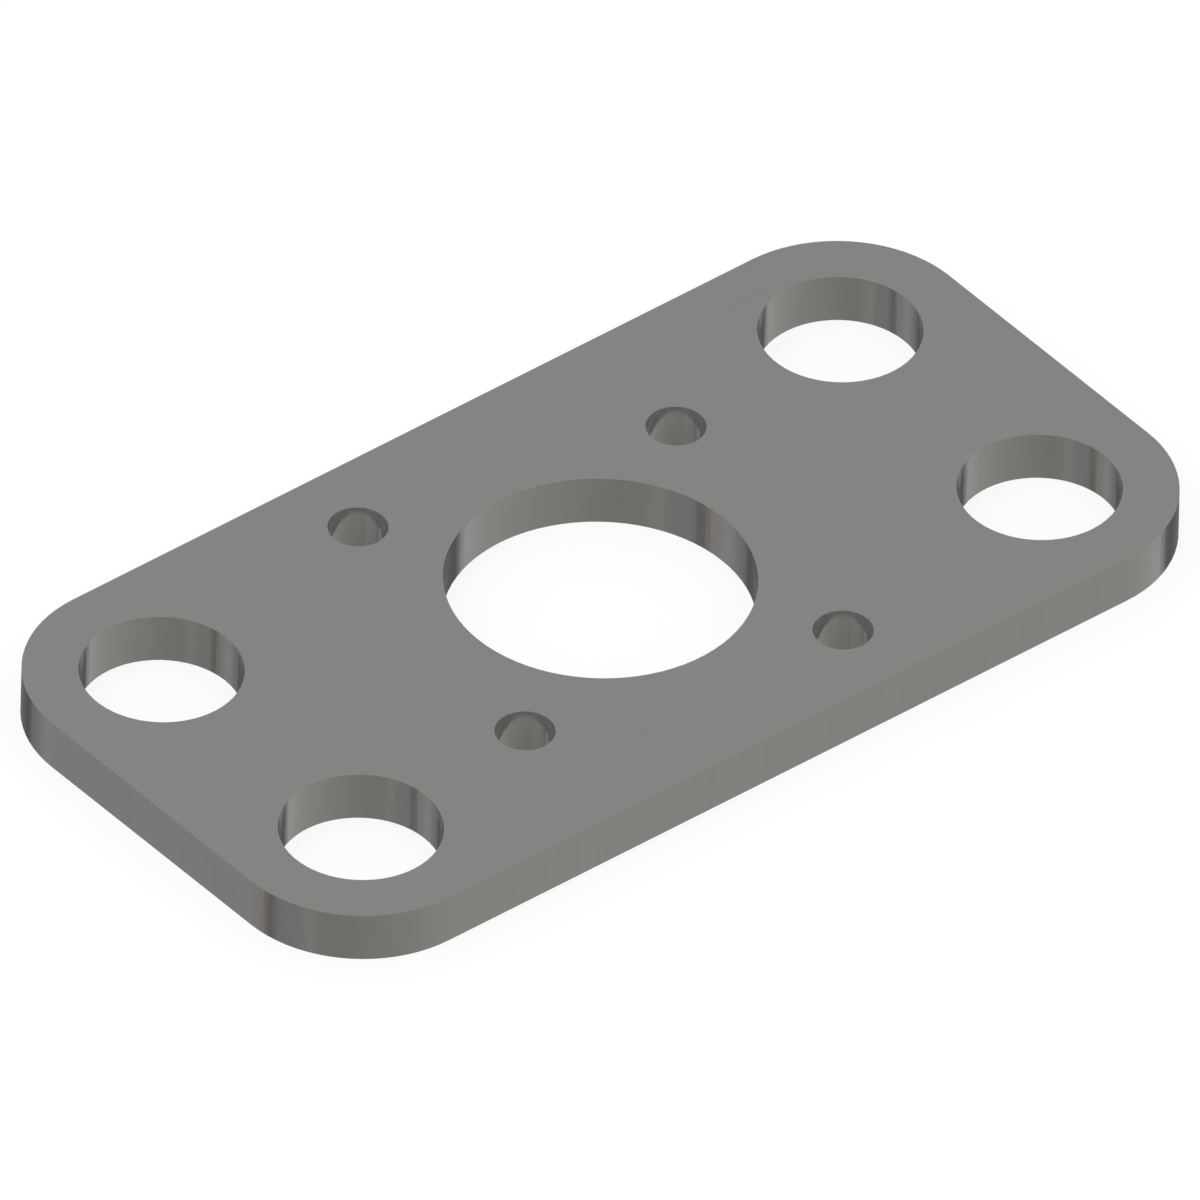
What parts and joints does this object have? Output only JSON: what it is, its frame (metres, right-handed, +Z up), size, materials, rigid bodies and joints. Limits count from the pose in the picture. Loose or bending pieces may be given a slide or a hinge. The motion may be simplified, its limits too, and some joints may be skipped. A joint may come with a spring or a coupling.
{
  "type": "mounting plate",
  "caption": "Flat steel mounting plate with rounded corners, a large centre bore inside a ring of small screw holes, and a larger fixing hole in each corner.",
  "frame": {"origin": "on the centre bore's axis, at the plate's bottom face, which it rests on", "axes": "+X along the plate's length, +Y across its width, +Z up through its thickness along the bore's axis"},
  "size_m": [0.066, 0.034, 0.0032],
  "materials": {
    "steel": "satin"
  },
  "bodies": {
    "root": {"mounting_plate": "steel"}
  },
  "joints": []
}
